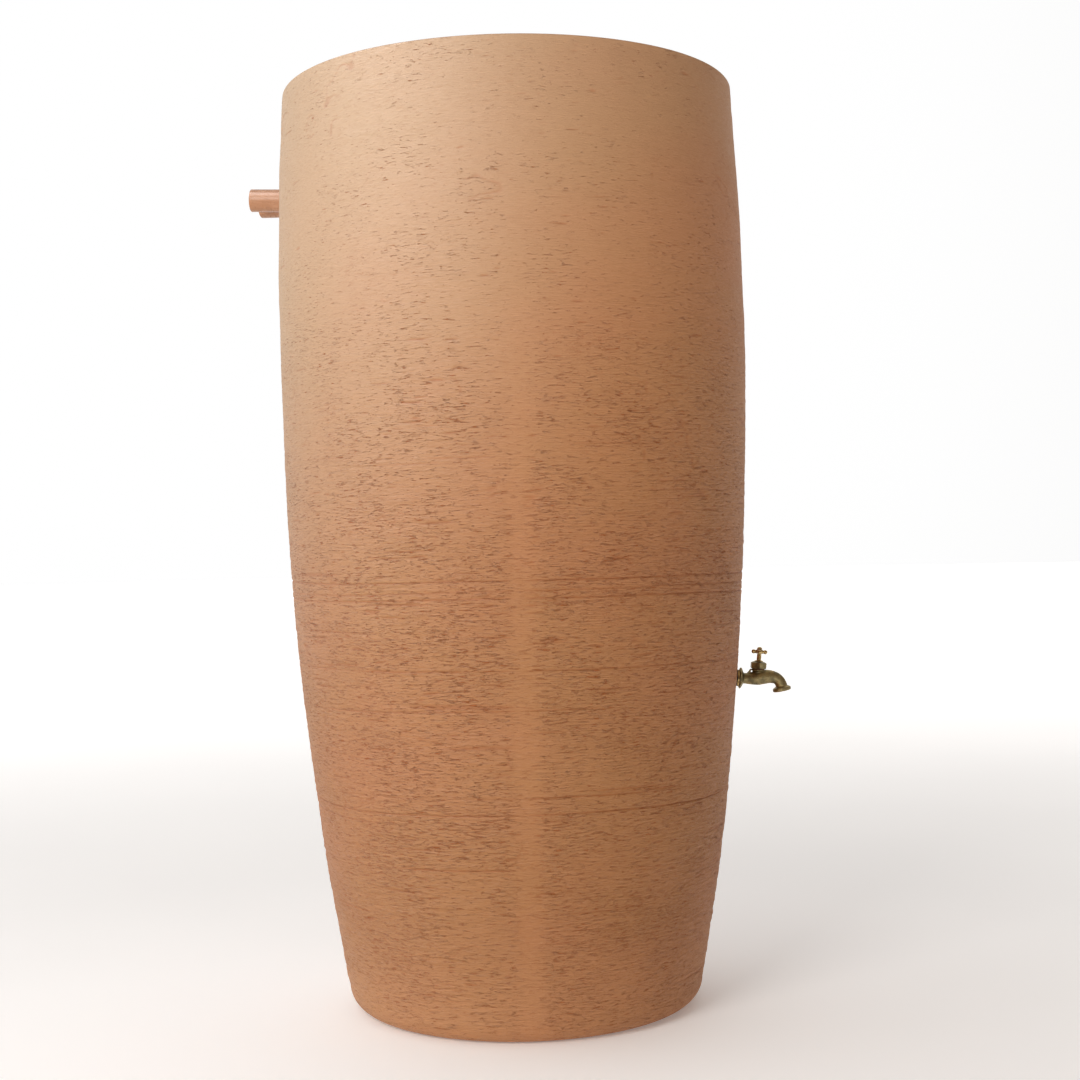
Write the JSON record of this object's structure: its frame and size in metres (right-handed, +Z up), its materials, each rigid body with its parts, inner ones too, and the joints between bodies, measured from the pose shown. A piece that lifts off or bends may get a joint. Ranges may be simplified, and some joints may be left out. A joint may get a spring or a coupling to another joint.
{
  "type": "rain barrel",
  "caption": "Tall round bellied rain barrel in rough clay-coloured plastic, with a drop-in lid, two pipe spigots near the rim and a brass bib tap near the foot.",
  "frame": {"origin": "centre of the flat base, on the ground", "axes": "+Z up the barrel's axis, +X towards the tap, +Y to the left when facing the way the tap points"},
  "size_m": [0.7916, 0.6828, 1.33],
  "materials": {
    "clay_plastic": "rough, horizontally streaked clay look, moulded in polyethylene",
    "pipe_plastic": "smooth, slightly glossy, clay-coloured",
    "pale_rubber": "matte, pale clay colour",
    "black_rubber": "matte black",
    "fibre": "red-brown pressed fibre",
    "cast_brass": "sand-cast, dull olive patina",
    "bright_brass": "machined, bright with brown tarnish in the recesses"
  },
  "bodies": {
    "root": {"barrel_shell": "clay_plastic", "inlet_spigot": "pipe_plastic", "inlet_grommet": "pale_rubber", "overflow_spigot": "pipe_plastic", "overflow_grommet": "pale_rubber", "tap_body": "cast_brass", "outer_seal": "black_rubber", "lock_nut": "bright_brass", "inner_seal": "black_rubber", "back_nut": "bright_brass", "bonnet": "cast_brass", "bonnet_washer": "fibre", "gland_packing": "fibre", "gland_nut": "bright_brass"},
    "lid": {"lid": "clay_plastic"},
    "valve": {"jumper_valve": "bright_brass", "tap_washer": "black_rubber", "washer_nut": "bright_brass"},
    "handle": {"spindle": "bright_brass", "cross_handle": "bright_brass", "handle_screw": "bright_brass"}
  },
  "joints": [
    {"name": "lid_lift", "type": "slide", "parent": "root", "child": "lid", "axis": [0, 0, 1], "range_m": [0, 0.3]},
    {"name": "valve_lift", "type": "slide", "parent": "root", "child": "valve", "axis": [0.0931, 0, 0.9957], "range_m": [0, 0.004]},
    {"name": "handle_turn", "type": "hinge", "parent": "valve", "child": "handle", "pos_m": [0.35456, 0, 0.4818], "axis": [0.0931, 0, 0.9957], "range_deg": [0, 720]}
  ],
  "couplings": [
    {"joint": "handle_turn", "follows": "valve_lift", "rad_per_m": 3141.6}
  ]
}
